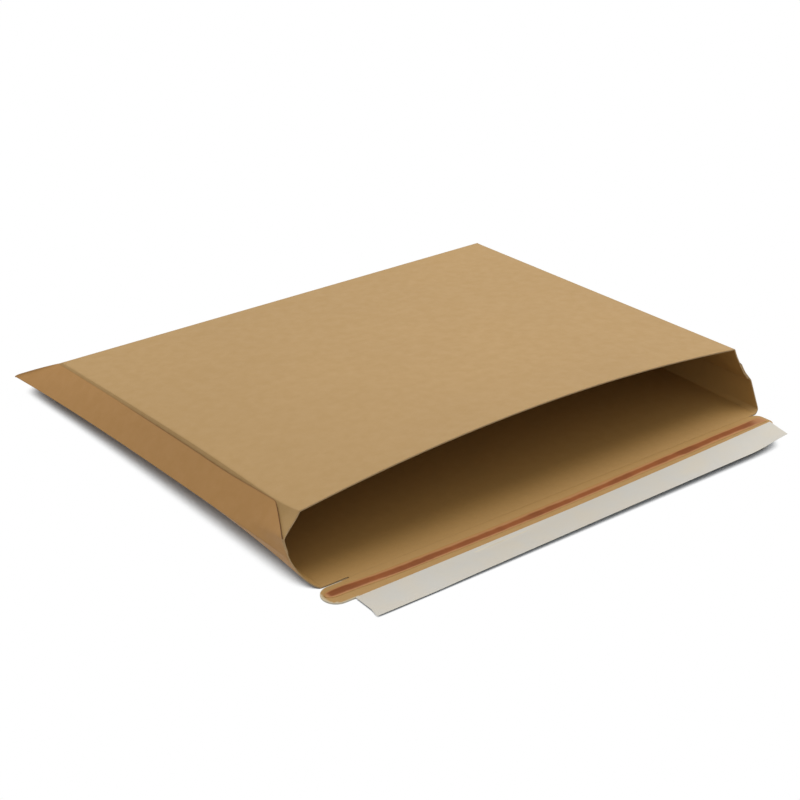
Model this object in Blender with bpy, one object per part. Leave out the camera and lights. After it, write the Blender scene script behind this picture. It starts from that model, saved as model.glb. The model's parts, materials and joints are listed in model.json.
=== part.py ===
"""Book wrap mailer: one creased sheet of solid kraft board, open along its long front edge.

The top and the bottom panel are each creased a little inside their edges, so that the sides and the back
stand open like a bellows and meet in one outer fold. The bottom panel runs on at the front as a closure
flap, which carries a tear tape, an adhesive strip and its release liner.
Metres, +Z up. The mouth faces -Y, and the origin is on the base, under the middle of the whole part.
"""

import bpy
import bmesh
import numpy as np
from math import cos, exp, pi, sin

# Board and the thin layers on it
BOARD = 0.0007
TAPE_THICKNESS = 0.0001
GLUE_THICKNESS = 0.0001
LINER_THICKNESS = 0.0001
LAYER_GAP = 0.0002
CREASE_GAP = 0.0003

# Top panel, from crease to crease; its mouth edge is set back from the flap's crease and arches up
TOP_WIDTH_MOUTH = 0.3020
TOP_WIDTH_BACK = 0.3126
TOP_DEPTH = 0.2420
TOP_SETBACK = 0.0190
TOP_HEIGHT_MOUTH = 0.0343
TOP_HEIGHT_BACK = 0.0210
MOUTH_ARCH = 0.0107
ARCH_FADE = 1.2

# The top creases aren't quite straight: the left one dips behind the mouth, the right one lifts towards it
CREASE_RISE = 0.0008
CREASE_DIP = 0.0022
CREASE_DIP_SHARE = 0.10
CREASE_LIFT = 0.0008

# Bottom panel, from crease to crease
BOTTOM_WIDTH = 0.3040
BOTTOM_DEPTH = 0.2590

# Outer fold where the top and bottom margins meet, measured out from the top panel's creases
FOLD_REACH_LEFT = 0.0133
FOLD_REACH_RIGHT = 0.0058
FOLD_REACH_CORNER = 0.0201
FOLD_REACH_BACK = 0.0240
FOLD_HEIGHT_MOUTH = 0.0172
FOLD_HEIGHT_BACK = 0.0084
FOLD_DROP_RIGHT = 0.0016
FOLD_RETREAT = 0.0096
FOLD_SAG = 0.0024

# How far the side margins bow out at the mouth, and how far back the bow reaches. The left top margin's
# mouth edge is also set back a little
UPPER_BOW_LEFT = 0.0052
UPPER_BOW_RIGHT = -0.0011
UPPER_BOW_LENGTH = 0.0400
UPPER_BOW_SHARE = 0.71
EDGE_SETBACK_LEFT = 0.0020
LOWER_BOW_LEFT = 0.0024
LOWER_BOW_RIGHT = 0.0030
LOWER_BOW_LENGTH = 0.0800
LOWER_BOW_SHARE = 0.40

# Glued side seam: the bottom panel's side flap lies over the top margin, with a sloping cut at the mouth
SEAM_INSET = 0.0023
SEAM_CORNER_INSET = 0.0006
SEAM_CUT_LENGTH = 0.0202
SEAM_CUT_LEFT = 0.0166
SEAM_CUT_RIGHT = 0.0098
SEAM_RUN_SHARE = 0.2

# Closure flap, measured forward from its crease
TEAR_BAND_DEPTH = 0.0170
GLUE_BAND_DEPTH = 0.0152
FLAP_LEFT = 0.1419
FLAP_RIGHT = 0.1310
BAND_RIGHT = 0.1510
BAND_RIGHT_RADIUS = 0.0050
TAB_LEFT = 0.1573
TAB_NECK = 0.1360
TAB_NOTCH = 0.0011

# Layers on the closure flap
TAPE_WIDTH = 0.0070
TAPE_INSET = 0.0053
TAPE_END_LEFT = 0.0018
TAPE_END_RIGHT = 0.0020
GLUE_WIDTH = 0.0100
GLUE_INSET = 0.0030
GLUE_END_GAP = 0.0040
LINER_INSET = 0.0004
LINER_OVER_EDGE = 0.0045
LINER_OVER_LEFT = 0.0020
LINER_OVER_RIGHT = 0.0100

# The flap's free edge stands a little off the ground, more towards its right end, where the liner peels off
LIFT_HEIGHT = 0.0024
LIFT_START = 0.1070
PEEL_HEIGHT = 0.0032

# Mesh density
CUT_STATIONS = 4
SIDE_STATIONS = 14
PANEL_COLUMNS = 16
UPPER_RINGS = 4
LOWER_RINGS = 5
ARC_STEPS = 8
SHEET_COLUMNS = 24

KRAFT = (0.388, 0.232, 0.076, 1.0)
TAPE_BROWN = (0.228, 0.061, 0.015, 1.0)
CLEAR_GLUE = (0.68, 0.62, 0.49, 1.0)
LINER_WHITE = (0.60, 0.57, 0.50, 1.0)

# Sizes that follow from the ones above
FOLD_DEPTH = TOP_SETBACK + TOP_DEPTH + FOLD_REACH_BACK
FLAP_DEPTH = TEAR_BAND_DEPTH + GLUE_BAND_DEPTH
LINER_REACH = FLAP_DEPTH + LINER_OVER_EDGE
LINER_LEFT = FLAP_LEFT + LINER_OVER_LEFT
LINER_RIGHT = FLAP_RIGHT + LINER_OVER_RIGHT
MOUTH_Y = (LINER_REACH - FOLD_DEPTH) / 2.0
LEFT = -1
RIGHT = 1


def clear_scene():
    for item in list(bpy.data.objects):
        bpy.data.objects.remove(item, do_unlink=True)


def principled(name, colour, roughness):
    material = bpy.data.materials.new(name)
    material.use_nodes = True
    shader = material.node_tree.nodes["Principled BSDF"]
    shader.inputs["Base Color"].default_value = colour
    shader.inputs["Roughness"].default_value = roughness
    shader.inputs["Metallic"].default_value = 0.0
    return material


def empty_at(name, location, parent=None):
    marker = bpy.data.objects.new(name, None)
    marker.location = location
    marker.parent = parent
    bpy.context.scene.collection.objects.link(marker)
    return marker


def object_from(name, builder, parent, material):
    """Turn a bmesh into a named object that hangs on its parent empty."""
    mesh = bpy.data.meshes.new(name)
    builder.to_mesh(mesh)
    builder.free()
    mesh.materials.append(material)
    item = bpy.data.objects.new(name, mesh)
    item.parent = parent
    bpy.context.scene.collection.objects.link(item)
    return item


def blend(first, second, share):
    return first + (second - first) * share


# The folds of the pocket, as points at a share of the depth: 0 at the mouth, 1 at the back corners

def top_crease(side, share):
    half = blend(TOP_WIDTH_MOUTH, TOP_WIDTH_BACK, share) / 2.0
    height = blend(TOP_HEIGHT_MOUTH, TOP_HEIGHT_BACK, share)
    if side < 0.0:
        dip = share / CREASE_DIP_SHARE
        height += CREASE_RISE * sin(pi * share) - CREASE_DIP * dip * exp(1.0 - dip)
    else:
        height += CREASE_LIFT * (1.0 - share)
    return np.array([side * half, TOP_SETBACK + TOP_DEPTH * share, height])


def bottom_crease(side, share):
    return np.array([side * BOTTOM_WIDTH / 2.0, BOTTOM_DEPTH * share, 0.0])


def outer_fold(side, share):
    """The side fold, which the open pocket pulls in a little between the mouth and the corner."""
    reach = FOLD_REACH_LEFT if side < 0.0 else FOLD_REACH_RIGHT
    mouth = TOP_WIDTH_MOUTH / 2.0 + reach
    corner = TOP_WIDTH_BACK / 2.0 + FOLD_REACH_CORNER
    largest = 0.4725
    sag = FOLD_SAG * (share - share ** 4) / largest
    half = blend(mouth, corner, share) - sag
    height = blend(FOLD_HEIGHT_MOUTH, FOLD_HEIGHT_BACK, share)
    if side > 0.0:
        height -= FOLD_DROP_RIGHT * share
    return np.array([side * half, blend(FOLD_RETREAT, FOLD_DEPTH, share), height])


def outward(side, start, end):
    """Unit vector out of the pocket, square to the line between two folds of a side margin."""
    line = end - start
    across = np.array([abs(line[2]), 0.0, 0.0])
    across[2] = side * line[0] * np.sign(-line[2])
    return np.array([side, 1.0, 1.0]) * across / np.linalg.norm(across)


def bow_fade(share, length):
    return max(0.0, 1.0 - share * TOP_DEPTH / length) ** 2


def across_margin(start, end, place, push, peak):
    """Point at a share of the way between two folds, pushed out most at the peak's share."""
    hat = place / peak if place < peak else (1.0 - place) / (1.0 - peak)
    return start + (end - start) * place + push * hat


def seam_place(side, width, share):
    """Where the side flap's cut edge lies across the margin, as a share of its width."""
    corner = SEAM_CUT_LENGTH / TOP_DEPTH
    if share < corner:
        cut = SEAM_CUT_LEFT if side < 0.0 else SEAM_CUT_RIGHT
        return blend(cut, SEAM_CORNER_INSET, share / corner) / width
    along = min(1.0, (share - corner) / SEAM_RUN_SHARE)
    return blend(SEAM_CORNER_INSET, SEAM_INSET, along) / width


def upper_station(side, share):
    """Points across a top margin, from its crease to the outer fold.

    The second and third points are the lower and upper corner of the side flap's cut edge. At the back
    corner the flap thins out, and the two fall together.
    """
    crease = top_crease(side, share)
    fold = outer_fold(side, share)
    out = outward(side, crease, fold)
    flap = out * (BOARD if share < 1.0 else 0.0)
    bow = UPPER_BOW_LEFT if side < 0.0 else UPPER_BOW_RIGHT
    setback = EDGE_SETBACK_LEFT if side < 0.0 else 0.0
    push = (out * bow + np.array([0.0, setback, 0.0])) * bow_fade(share, UPPER_BOW_LENGTH)
    base_fold = fold - flap
    cut = seam_place(side, np.linalg.norm(base_fold - crease), share)
    places = np.linspace(cut, 1.0, UPPER_RINGS)
    base = [across_margin(crease, base_fold, place, push, UPPER_BOW_SHARE) for place in places]
    return [crease, base[0]] + [point + flap for point in base]


def lower_station(side, share):
    """Points across a bottom margin, from its crease to the outer fold."""
    crease = bottom_crease(side, share)
    fold = outer_fold(side, share)
    bow = LOWER_BOW_LEFT if side < 0.0 else LOWER_BOW_RIGHT
    push = outward(side, fold, crease) * bow * bow_fade(share, LOWER_BOW_LENGTH)
    places = np.linspace(0.0, 1.0, LOWER_RINGS)
    return [across_margin(crease, fold, place, push, LOWER_BOW_SHARE) for place in places]


def side_shares():
    """Shares of the depth: some along the seam's sloping cut, the rest from there to the back corner."""
    cut = SEAM_CUT_LENGTH / TOP_DEPTH
    near = list(np.linspace(0.0, cut, CUT_STATIONS))
    far = list(np.linspace(cut, 1.0, SIDE_STATIONS))
    return near[:-1] + far


def row_between(left, right):
    return [blend(left, right, share) for share in np.linspace(0.0, 1.0, PANEL_COLUMNS + 1)]


def margin_strip(station, shares):
    """Stations up the left side, along the back and down the right side."""
    left = [station(LEFT, share) for share in shares]
    right = [station(RIGHT, share) for share in reversed(shares)]
    columns = [row_between(a, b) for a, b in zip(left[-1], right[0])]
    back = [list(points) for points in zip(*columns)]
    return left + back[1:-1] + right


def top_row(share):
    row = row_between(top_crease(LEFT, share), top_crease(RIGHT, share))
    fade = (1.0 - share) ** ARCH_FADE
    for column, point in enumerate(row):
        place = column / PANEL_COLUMNS
        point[2] += MOUTH_ARCH * 4.0 * place * (1.0 - place) * fade
    return row


def bottom_row(share):
    return row_between(bottom_crease(LEFT, share), bottom_crease(RIGHT, share))


class Pocket:
    """The outside of the folded board: points, faces and the thickness of board behind each face."""

    def __init__(self):
        self.points = []
        self.numbers = {}
        self.faces = []
        self.partner = {}

    def number(self, point):
        key = tuple(int(round(value * 1e8)) for value in point)
        if key not in self.numbers:
            self.numbers[key] = len(self.points)
            self.points.append(np.array(point, float))
        return self.numbers[key]

    def face(self, corners, thickness):
        ring = list(dict.fromkeys(self.number(corner) for corner in corners))
        if len(ring) > 2:
            self.faces.append((ring, thickness))

    def grid(self, rows, thickness_of):
        """Faces between neighbouring rows; thickness_of gives each face's board by its row and column."""
        for row in range(len(rows) - 1):
            near = rows[row]
            far = rows[row + 1]
            for column in range(len(near) - 1):
                corners = [near[column], near[column + 1], far[column + 1], far[column]]
                self.face(corners, thickness_of(row, column))

    def pair(self, first, second):
        """Two corners of a cut edge, which share one point on the inside."""
        self.partner[self.number(second)] = self.number(first)


def outside_of_pocket():
    pocket = Pocket()
    shares = side_shares()
    upper = margin_strip(upper_station, shares)
    lower = margin_strip(lower_station, shares)
    last_side_row = len(shares) - 1
    first_right_row = len(upper) - len(shares)

    def upper_board(row, column):
        beside = row < last_side_row or row >= first_right_row
        if column == 1:
            return 0.0
        return 2.0 * BOARD if beside and column > 1 else BOARD

    flipped = [station[::-1] for station in upper]
    pocket.grid(flipped, lambda row, column: upper_board(row, UPPER_RINGS - column))
    pocket.grid(lower, lambda row, column: BOARD)
    pocket.grid([top_row(share) for share in shares], lambda row, column: BOARD)
    pocket.grid([bottom_row(share)[::-1] for share in shares], lambda row, column: BOARD)
    for station in upper:
        if pocket.number(station[1]) != pocket.number(station[2]):
            pocket.pair(station[1], station[2])
    return pocket


def face_normal(points):
    total = np.zeros(3)
    for first, second in zip(points, points[1:] + points[:1]):
        total += np.cross(first, second)
    return total / np.linalg.norm(total)


def inside_points(pocket):
    """One point on the inner face for each point outside, set back from every face that meets there."""
    planes = {}
    for ring, thickness in pocket.faces:
        if thickness == 0.0:
            continue
        corners = [pocket.points[number] for number in ring]
        normal = face_normal(corners)
        for number in ring:
            owner = pocket.partner.get(number, number)
            offset = pocket.points[number] - pocket.points[owner]
            planes.setdefault(owner, []).append((normal, normal @ offset - thickness))
    inside = {}
    smallest_fold = 0.12
    for owner, rules in planes.items():
        normals = np.array([rule[0] for rule in rules])
        depths = np.array([rule[1] for rule in rules])
        inside[owner] = pocket.points[owner] + np.linalg.lstsq(normals, depths, rcond=smallest_fold)[0]
    return inside


def mailer_body(parent, material):
    """The folded sheet as one closed body: its outside, its inside and the cut edge round the mouth."""
    pocket = outside_of_pocket()
    inside = inside_points(pocket)
    builder = bmesh.new()
    outer = [builder.verts.new(point) for point in pocket.points]
    inner = {}
    for number, point in inside.items():
        inner[number] = builder.verts.new(point)

    def inner_of(number):
        return inner[pocket.partner.get(number, number)]

    edges = {}
    for ring, thickness in pocket.faces:
        builder.faces.new([outer[number] for number in ring])
        for first, second in zip(ring, ring[1:] + ring[:1]):
            edges[(first, second)] = True
        if thickness > 0.0:
            builder.faces.new([inner_of(number) for number in reversed(ring)])
    for first, second in edges:
        if (second, first) in edges:
            continue
        corners = [outer[second], outer[first], inner_of(first), inner_of(second)]
        builder.faces.new(list(dict.fromkeys(corners)))
    bmesh.ops.triangulate(builder, faces=builder.faces[:])
    return object_from("mailer_body", builder, parent, material)


# The closure flap and what is stuck to it, in coordinates from the middle of the crease's upper edge

def arc(centre_x, centre_y, radius, start_angle, end_angle):
    angles = np.linspace(start_angle, end_angle, ARC_STEPS + 1)
    return [(centre_x + radius * cos(angle), centre_y + radius * sin(angle)) for angle in angles]


def flap_outline():
    tab_radius = (TEAR_BAND_DEPTH - TAB_NOTCH) / 2.0
    tab_x = -TAB_LEFT + tab_radius
    round_x = BAND_RIGHT - BAND_RIGHT_RADIUS
    outline = [(-TAB_NECK, -CREASE_GAP), (-TAB_NECK - TAB_NOTCH, -TAB_NOTCH)]
    outline += arc(tab_x, -TAB_NOTCH - tab_radius, tab_radius, pi / 2.0, 1.5 * pi)
    outline += [(-FLAP_LEFT, -TEAR_BAND_DEPTH), (-FLAP_LEFT, -FLAP_DEPTH)]
    outline += [(FLAP_RIGHT, -FLAP_DEPTH), (FLAP_RIGHT, -TEAR_BAND_DEPTH)]
    outline += arc(round_x, BAND_RIGHT_RADIUS - TEAR_BAND_DEPTH, BAND_RIGHT_RADIUS, 1.5 * pi, 2.0 * pi)
    outline += arc(round_x, -CREASE_GAP - BAND_RIGHT_RADIUS, BAND_RIGHT_RADIUS, 0.0, pi / 2.0)
    return outline


def strip_outline(left, right, near, far):
    return [(left, -near), (left, -far), (right, -far), (right, -near)]


def lift(x, y, peel):
    """Height over the ground: the flap's own lift, and for the liner its peel as well."""
    along = max(0.0, x + LIFT_START) / (BAND_RIGHT + LIFT_START)
    return LIFT_HEIGHT * along * max(0.0, -y) / FLAP_DEPTH + peel * along


def lifted_sheet(name, outline, underside, thickness, parent, material, peel=0.0):
    """A thin flat sheet that follows the flap's lift; every sheet is divided at the same places."""
    builder = bmesh.new()
    builder.faces.new([builder.verts.new((x, y, underside)) for x, y in outline])
    for x in np.linspace(-TAB_LEFT, BAND_RIGHT, SHEET_COLUMNS + 1)[1:-1]:
        parts = builder.verts[:] + builder.edges[:] + builder.faces[:]
        bmesh.ops.bisect_plane(builder, geom=parts, plane_co=(x, 0.0, 0.0), plane_no=(1.0, 0.0, 0.0))
    bmesh.ops.triangulate(builder, faces=builder.faces[:])
    raised = bmesh.ops.extrude_face_region(builder, geom=builder.faces[:])["geom"]
    corners = [item for item in raised if isinstance(item, bmesh.types.BMVert)]
    bmesh.ops.translate(builder, verts=corners, vec=(0.0, 0.0, thickness))
    for vertex in builder.verts:
        vertex.co.z += lift(vertex.co.x, vertex.co.y, peel)
    bmesh.ops.triangulate(builder, faces=builder.faces[:])
    bmesh.ops.recalc_face_normals(builder, faces=builder.faces[:])
    return object_from(name, builder, parent, material)


def closure_flap(parent, board, tape, glue, liner):
    lifted_sheet("closure_flap", flap_outline(), -BOARD, BOARD, parent, board)
    tape_shape = strip_outline(TAPE_END_LEFT - TAB_LEFT, BAND_RIGHT - TAPE_END_RIGHT,
                               TAPE_INSET, TAPE_INSET + TAPE_WIDTH)
    lifted_sheet("tear_tape", tape_shape, LAYER_GAP, TAPE_THICKNESS, parent, tape)
    glue_near = TEAR_BAND_DEPTH + GLUE_INSET
    glue_shape = strip_outline(GLUE_END_GAP - FLAP_LEFT, FLAP_RIGHT - GLUE_END_GAP,
                               glue_near, glue_near + GLUE_WIDTH)
    lifted_sheet("adhesive_strip", glue_shape, LAYER_GAP, GLUE_THICKNESS, parent, glue)
    liner_shape = strip_outline(-LINER_LEFT, LINER_RIGHT, TEAR_BAND_DEPTH + LINER_INSET, LINER_REACH)
    liner_height = 2.0 * LAYER_GAP + GLUE_THICKNESS
    lifted_sheet("release_liner", liner_shape, liner_height, LINER_THICKNESS, parent, liner, PEEL_HEIGHT)


def main():
    clear_scene()
    board = principled("kraft_board", KRAFT, 0.85)
    tape = principled("tear_tape", TAPE_BROWN, 0.40)
    glue = principled("adhesive", CLEAR_GLUE, 0.35)
    liner = principled("release_liner", LINER_WHITE, 0.45)
    mouth = empty_at("mouth_crease", (0.0, MOUTH_Y, 0.0))
    flap_crease = empty_at("flap_crease", (0.0, 0.0, BOARD), mouth)
    mailer_body(mouth, board)
    closure_flap(flap_crease, board, tape, glue, liner)
    bpy.context.view_layer.update()


if __name__ == "__main__":
    main()
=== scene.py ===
"""Book wrap mailer in solid kraft board: its visible pieces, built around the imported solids.

Each piece has an operator, its sizes and colours are properties of the scene, and the panel in the 3D
view's sidebar lists them. Metres, +Z up, the mouth faces -Y.
"""

import bpy
import bmesh
import json
import numpy as np
from math import cos, exp, hypot, pi, sin
from bpy.props import FloatProperty, FloatVectorProperty, PointerProperty
from bpy.types import Operator, Panel, PropertyGroup
from mathutils import Matrix, Vector


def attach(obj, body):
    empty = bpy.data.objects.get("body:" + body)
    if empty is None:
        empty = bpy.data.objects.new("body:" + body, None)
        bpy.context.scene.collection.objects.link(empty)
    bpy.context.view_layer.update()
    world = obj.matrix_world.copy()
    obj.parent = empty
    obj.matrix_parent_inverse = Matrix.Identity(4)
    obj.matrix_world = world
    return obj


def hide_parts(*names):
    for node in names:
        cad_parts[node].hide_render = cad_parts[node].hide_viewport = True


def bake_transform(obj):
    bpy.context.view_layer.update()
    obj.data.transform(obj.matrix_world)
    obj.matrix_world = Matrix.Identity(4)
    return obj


bl_info = {
    "name": "Book Wrap Mailer",
    "version": (1, 0, 0),
    "blender": (4, 5, 0),
    "location": "View3D > Sidebar > Mailer",
    "description": "Builds a solid board book wrap mailer with its closure flap, tear tape and release liner",
    "category": "Add Mesh",
}

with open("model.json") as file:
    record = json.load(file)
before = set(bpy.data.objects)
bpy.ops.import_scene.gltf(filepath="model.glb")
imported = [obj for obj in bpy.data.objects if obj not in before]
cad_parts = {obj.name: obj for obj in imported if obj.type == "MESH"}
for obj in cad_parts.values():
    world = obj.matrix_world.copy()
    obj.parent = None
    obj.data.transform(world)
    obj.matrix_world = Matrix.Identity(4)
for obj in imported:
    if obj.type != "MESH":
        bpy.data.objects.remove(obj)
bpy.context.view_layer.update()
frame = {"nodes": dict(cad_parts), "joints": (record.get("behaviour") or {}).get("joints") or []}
POCKET_BODY = "pocket"
FLAP_BODY = "flap"
MOUTH_Y = frame["joints"][0]["pos_m"][1]
LEFT = -1.0
RIGHT = 1.0
BOW_PEAK = 0.71
# Finish of the sloping side flaps and lower margins: painted shade, a darker, deeper orange than the outer face.
SHADED_SIDE_FINISH = 3


def length(name, description, default):
    return FloatProperty(name=name, description=description, default=default, unit="LENGTH", precision=5)


def colour(name, description, default):
    return FloatVectorProperty(name=name, description=description, default=default, subtype="COLOR",
                               size=4, min=0.0, max=1.0)


class MailerBoard(PropertyGroup):
    """The board itself: its thickness and its colours."""

    thickness: length("Thickness", "Thickness of the solid board", 0.0007)
    ply_gap: length("Ply gap", "Room between two plies of board that lie on each other", 0.00008)
    outside: colour("Outside", "Kraft colour of the outer face", (0.388, 0.232, 0.076, 1.0))
    inside: colour("Inside", "Kraft colour of the inner face", (0.402, 0.226, 0.062, 1.0))
    # Painted shade: the sloping side flaps and lower margins get a darker, deeper orange than the outer face.
    side: colour("Side flaps", "Colour of the glued side flaps", (0.408, 0.208, 0.056, 1.0))
    cut_edge: colour("Cut edge", "Colour of the board's cut edge", (0.400, 0.270, 0.135, 1.0))


class MailerPocket(PropertyGroup):
    """The folded pocket, from crease to crease and from mouth to back."""

    top_width_mouth: length("Top width, mouth", "Top panel's width at the mouth", 0.3020)
    top_width_back: length("Top width, back", "Top panel's width at the back", 0.3126)
    top_depth: length("Top depth", "Top panel's depth", 0.2420)
    top_setback: length("Top setback", "How far the top's mouth edge lies behind the flap's crease", 0.0190)
    top_height_mouth: length("Top height, mouth", "Height of the top creases at the mouth", 0.0343)
    top_height_back: length("Top height, back", "Height of the top creases at the back", 0.0210)
    arch: length("Arch", "How far the mouth edge arches above its corners", 0.0107)
    arch_fade: FloatProperty(name="Arch fade", description="How soon the arch dies away", default=1.2)
    bottom_width: length("Bottom width", "Bottom panel's width", 0.3040)
    bottom_depth: length("Bottom depth", "Bottom panel's depth", 0.2590)
    reach_left: length("Left reach", "Outer fold beyond the left top crease at the mouth", 0.0133)
    reach_right: length("Right reach", "Outer fold beyond the right top crease at the mouth", 0.0058)
    reach_corner: length("Corner reach", "Outer fold beyond the top creases at the back", 0.0201)
    reach_back: length("Back reach", "Outer fold behind the back crease", 0.0240)
    fold_height_mouth: length("Fold height, mouth", "Height of the outer fold at the mouth", 0.0172)
    fold_height_back: length("Fold height, back", "Height of the outer fold at the back", 0.0084)
    fold_drop_right: length("Fold drop, right", "How much lower the fold's right back corner lies", 0.0016)
    fold_retreat: length("Fold retreat", "How far the fold starts behind the flap's crease", 0.0096)
    fold_sag: length("Fold sag", "How far the side folds are pulled in between mouth and back", 0.0024)
    upper_bow_left: length("Upper bow, left", "Bow of the left upper margin at the mouth", 0.0052)
    edge_setback_left: length("Edge setback, left", "How far that margin's mouth edge is cut back", 0.0020)
    upper_bow_right: length("Upper bow, right", "Bow of the right upper margin at the mouth", -0.0011)
    upper_bow_length: length("Upper bow length", "How far back that bow reaches", 0.040)
    lower_bow_left: length("Lower bow, left", "Bow of the left lower margin at the mouth", 0.0025)
    lower_bow_right: length("Lower bow, right", "Bow of the right lower margin at the mouth", 0.0034)
    lower_bow_length: length("Lower bow length", "How far back that bow reaches", 0.080)
    crease_rise: length("Crease rise", "How far the left top crease stands up half way", 0.0008)
    crease_dip: length("Crease dip", "How far the left top crease dips behind the mouth", 0.0022)
    crease_lift: length("Crease lift", "Rise of the right top crease at the mouth", 0.0008)
    seam_inset: length("Seam inset", "Side flap's cut edge below the top crease", 0.0023)
    seam_corner_inset: length("Seam corner inset", "The same where the sloping end starts", 0.0004)
    seam_cut_length: length("Seam cut length", "Length of the side flap's sloping end", 0.0202)
    seam_cut_left: length("Seam cut, left", "Left side flap's edge below the top crease at the mouth", 0.0166)
    seam_cut_right: length("Seam cut, right", "Right side flap's edge below the top crease at the mouth", 0.0098)
    crease_radius: length("Crease radius", "Distance from a crease at which the board starts to bend", 0.0008)


class MailerFlap(PropertyGroup):
    """The closure flap and what is stuck to it, measured forward from its crease."""

    tear_band: length("Tear band", "Depth of the band that holds the tear tape", 0.0170)
    glue_band: length("Glue band", "Depth of the band under the liner", 0.0152)
    left: length("Left side", "Glue band's left side from the middle", 0.1419)
    right: length("Right side", "Glue band's right side from the middle", 0.1270)
    band_right: length("Band's right end", "Tear band's right end from the middle", 0.1510)
    band_radius: length("Band radius", "Radius of the tear band's right end", 0.0050)
    tab_left: length("Thumb tab", "Thumb tab's end from the middle", 0.1573)
    tab_neck: length("Tab neck", "Where the thumb tab parts from the crease", 0.1360)
    tab_notch: length("Tab notch", "Gap between the tab and the crease", 0.0011)
    crease_width: length("Crease width", "Width of the bend along the flap's crease", 0.0012)
    tape_width: length("Tape width", "Width of the tear tape", 0.0070)
    tape_inset: length("Tape inset", "Tape's distance from the crease", 0.0053)
    liner_inset: length("Liner inset", "Liner's distance from the tear band", 0.0004)
    liner_reach: length("Liner reach", "Liner's outer edge from the crease", 0.0367)
    liner_left: length("Liner left", "Liner's left end from the middle", 0.1439)
    liner_right: length("Liner right", "Liner's right end from the middle, at its inner edge", 0.1446)
    liner_corner: length("Liner corner", "The same at its outer edge", 0.1375)
    lift: length("Lift", "Height of the free edge off the ground at the right end", 0.0018)
    lift_start: length("Lift start", "Where the lift starts, left of the middle", 0.1070)
    liner_gap: length("Liner gap", "Liner's height over the board where it lies flat", 0.0003)
    liner_edge: length("Liner edge", "Height of its outer edge at the left end", 0.0006)
    liner_peel: length("Liner peel", "Rise of its inner edge towards the right end", 0.0043)
    liner_slope: length("Liner slope", "Rise of its outer edge towards the right end", 0.0040)
    liner_curl: length("Liner curl", "Further rise of its outer right corner", 0.0029)
    # Painted highlight: the flap's cut edge is paler than the pocket's, the board's own pale edge brightened to
    # stand for the light on it.
    rim_with_highlight: colour("Flap rim", "Colour of the flap's cut edge", (0.62, 0.55, 0.42, 1.0))
    tape_colour: colour("Tape core", "Colour of the tear tape's core", (0.244, 0.074, 0.020, 1.0))
    tape_flank: colour("Tape flanks", "Colour of the tear tape's flanks", (0.450, 0.220, 0.090, 1.0))
    liner_colour: colour("Liner", "Colour of the release liner", (0.578, 0.549, 0.480, 1.0))


class MailerStage(PropertyGroup):
    """Camera, lamps and floor."""

    camera_place: FloatVectorProperty(name="Camera", description="Camera position", subtype="TRANSLATION",
                                      unit="LENGTH", size=3, default=(-0.543506, -0.710693, 0.464418))
    azimuth: FloatProperty(name="Azimuth", description="Camera's direction around the mailer",
                           subtype="ANGLE", default=-0.642543)
    elevation: FloatProperty(name="Elevation", description="Camera's height above the horizon",
                             subtype="ANGLE", default=0.474440)
    roll: FloatProperty(name="Roll", description="Camera's roll", subtype="ANGLE", default=0.001653)
    lens: FloatProperty(name="Focal length", description="Focal length in millimetres on a 36 mm sensor",
                        default=77.886, min=1.0)
    key_power: FloatProperty(name="Key lamp", description="Power of the large overhead lamp in watts",
                             default=17.0, min=0.0)
    sky: FloatProperty(name="Sky", description="Strength of the even light from all round", default=0.56, min=0.0)
    floor_colour: colour("Floor", "Colour of the floor", (0.82, 0.82, 0.82, 1.0))
    shaded_floor: colour("Shaded floor", "Colour the camera sees where the mailer shades the floor",
                         (0.475, 0.525, 0.585, 1.0))
    shade_from: FloatProperty(name="Shade from", description="Share of open sky at which the floor is all shade",
                              default=0.22, min=0.0, max=1.0)
    shade_to: FloatProperty(name="Shade to", description="Share of open sky at which the floor is white",
                            default=0.44, min=0.0, max=1.0)


# Shared helpers

def mix(first, second, amount):
    return first + (second - first) * amount


def ease(amount):
    amount = min(1.0, max(0.0, amount))
    return amount * amount * (3.0 - 2.0 * amount)


class Sheet:
    """Points and faces of a sheet, with equal points shared and marks of painted shade along its creases and at the
    side flaps' cut edges.
    """

    def __init__(self):
        self.points = []
        self.marks = []
        self.seam_shades = {}
        self.numbers = {}
        self.faces = []
        self.finishes = []

    def number(self, point, mark=0.0):
        key = tuple(int(round(value * 1e7)) for value in point)
        if key not in self.numbers:
            self.numbers[key] = len(self.points)
            self.points.append(tuple(float(value) for value in point))
            self.marks.append(0.0)
        found = self.numbers[key]
        self.marks[found] = max(self.marks[found], mark)
        return found

    def grid(self, rows, marks, finish=0):
        """Quads between neighbouring rows of points; marks has a row of crease marks for each."""
        numbered = [[self.number(p, m) for p, m in zip(row, line)] for row, line in zip(rows, marks)]
        for near, far in zip(numbered, numbered[1:]):
            for column in range(len(near) - 1):
                ring = list(dict.fromkeys([near[column], near[column + 1], far[column + 1], far[column]]))
                if len(ring) > 2:
                    self.faces.append(ring)
                    self.finishes.append(finish)

    def mesh(self, name, mark_name="crease_shade_mark"):
        made = bpy.data.meshes.new(name)
        made.from_pydata(self.points, [], self.faces)
        # The points' marks: painted shade along creases, unless another mark name is given.
        mark = made.attributes.new(mark_name, "FLOAT", "POINT")
        mark.data.foreach_set("value", np.array(self.marks, np.float32))
        # Painted shade along the side flaps' cut edges.
        seam = made.attributes.new("seam_shade_mark", "FLOAT", "POINT")
        seam.data.foreach_set("value", [self.seam_shades.get(n, 0.0) for n in range(len(self.points))])
        made.polygons.foreach_set("material_index", (self.finishes + [0] * len(self.faces))[:len(self.faces)])
        made.validate()
        made.update()
        return made


def place_piece(name, mesh, location, materials):
    piece = bpy.data.objects.new(name, mesh)
    piece.location = location
    bpy.context.scene.collection.objects.link(piece)
    for material in materials:
        mesh.materials.append(material)
    mesh.shade_smooth()
    return piece


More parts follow.
